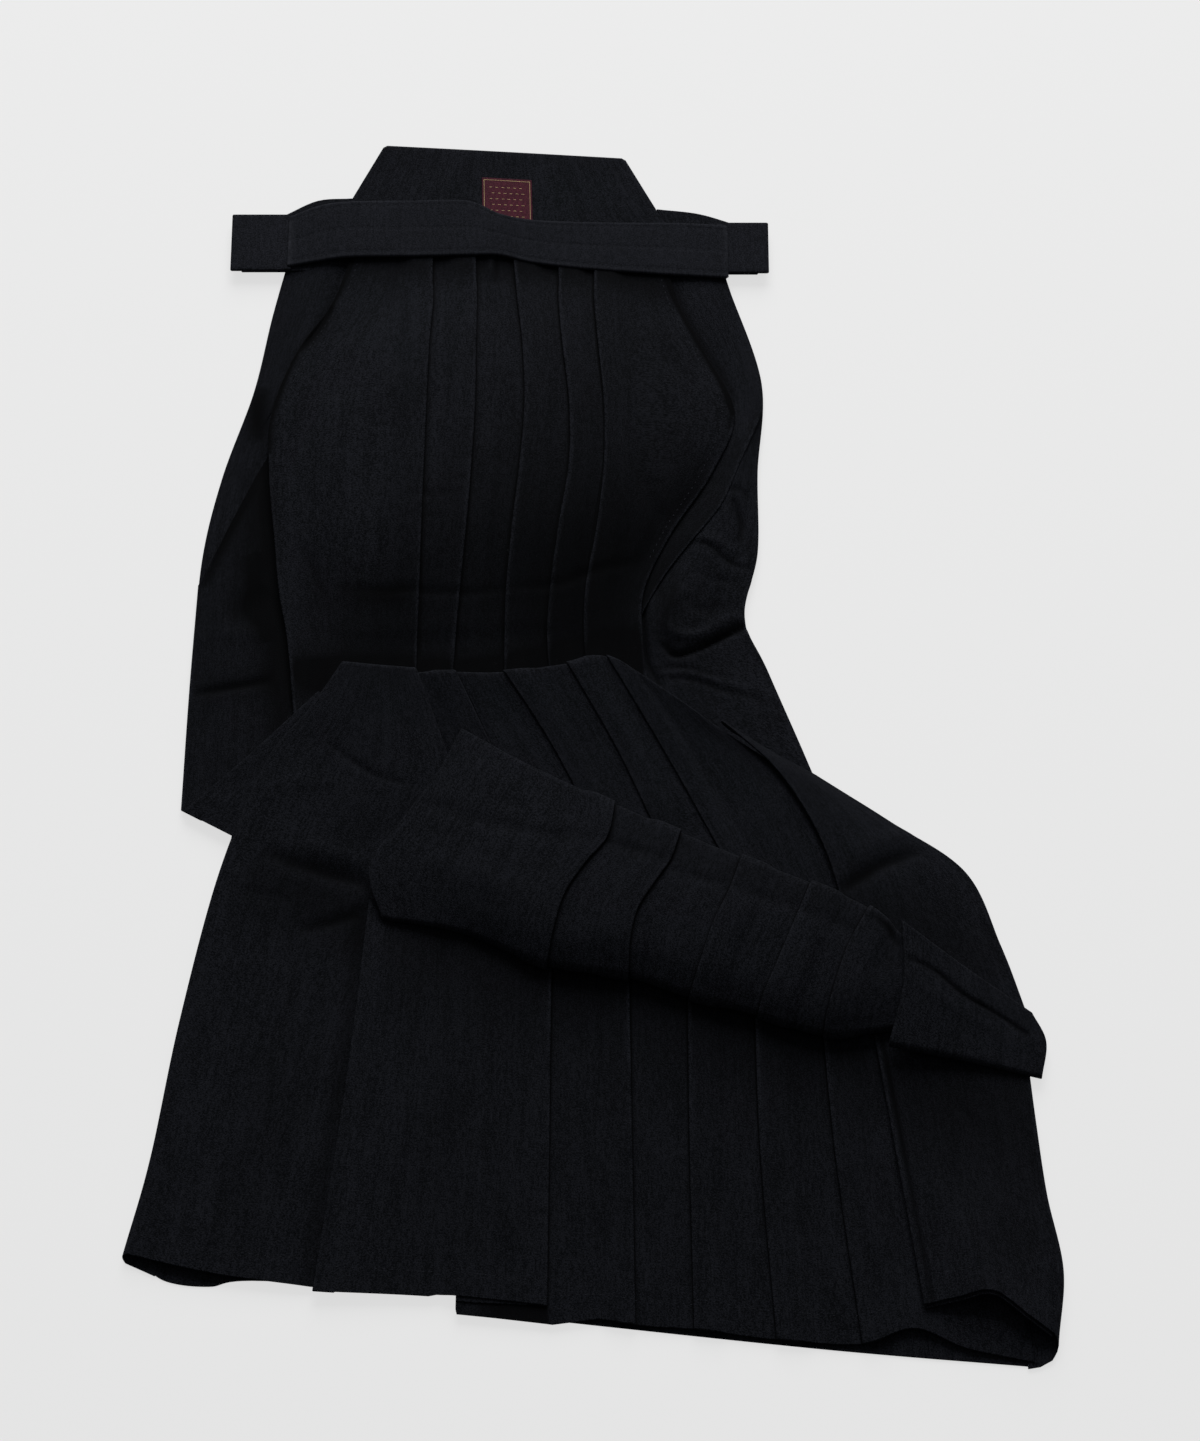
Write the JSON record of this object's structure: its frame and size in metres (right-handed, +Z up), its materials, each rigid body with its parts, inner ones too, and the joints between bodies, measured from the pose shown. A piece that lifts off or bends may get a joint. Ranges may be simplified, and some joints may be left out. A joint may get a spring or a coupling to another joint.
{
  "type": "hakama trousers",
  "caption": "Pleated hakama trousers with a stiff back board, front waistband, folded ties and a woven label, laid flat and folded back over themselves.",
  "frame": {"origin": "on the surface that the garment lies on, under the middle of its outline", "axes": "+Z up from the surface, +Y along the garment from the hem towards the waist, +X to the right as seen with the waist away from the viewer"},
  "size_m": [0.6215, 0.9364, 0.0314],
  "materials": {
    "navy_cloth": "matte plain weave, near-black navy",
    "maroon_label": "fine woven label with gold thread"
  },
  "bodies": {
    "root": {"front_waistband": "navy_cloth", "tie_fold_left": "navy_cloth", "tie_fold_right": "navy_cloth", "back_tie_left": "navy_cloth", "back_tie_right": "navy_cloth", "koshiita": "navy_cloth", "label": "maroon_label", "front_upper_left": "navy_cloth", "front_upper_right": "navy_cloth", "front_middle_left": "navy_cloth", "front_middle_right": "navy_cloth", "front_strip_left": "navy_cloth", "front_strip_right": "navy_cloth", "front_lower_left": "navy_cloth", "front_lower_right": "navy_cloth", "side_left_upper": "navy_cloth", "return_left": "navy_cloth", "side_left_lower": "navy_cloth", "side_right_upper": "navy_cloth", "side_right_middle": "navy_cloth", "side_right_strip": "navy_cloth", "side_right_lower": "navy_cloth", "back_upper_left": "navy_cloth", "back_upper_right": "navy_cloth", "back_lower_left": "navy_cloth", "back_lower_right": "navy_cloth", "hidden_layers_upper": "navy_cloth", "hidden_layers_middle": "navy_cloth", "hidden_layers_strip": "navy_cloth", "hidden_layers_lower": "navy_cloth"}
  },
  "joints": []
}
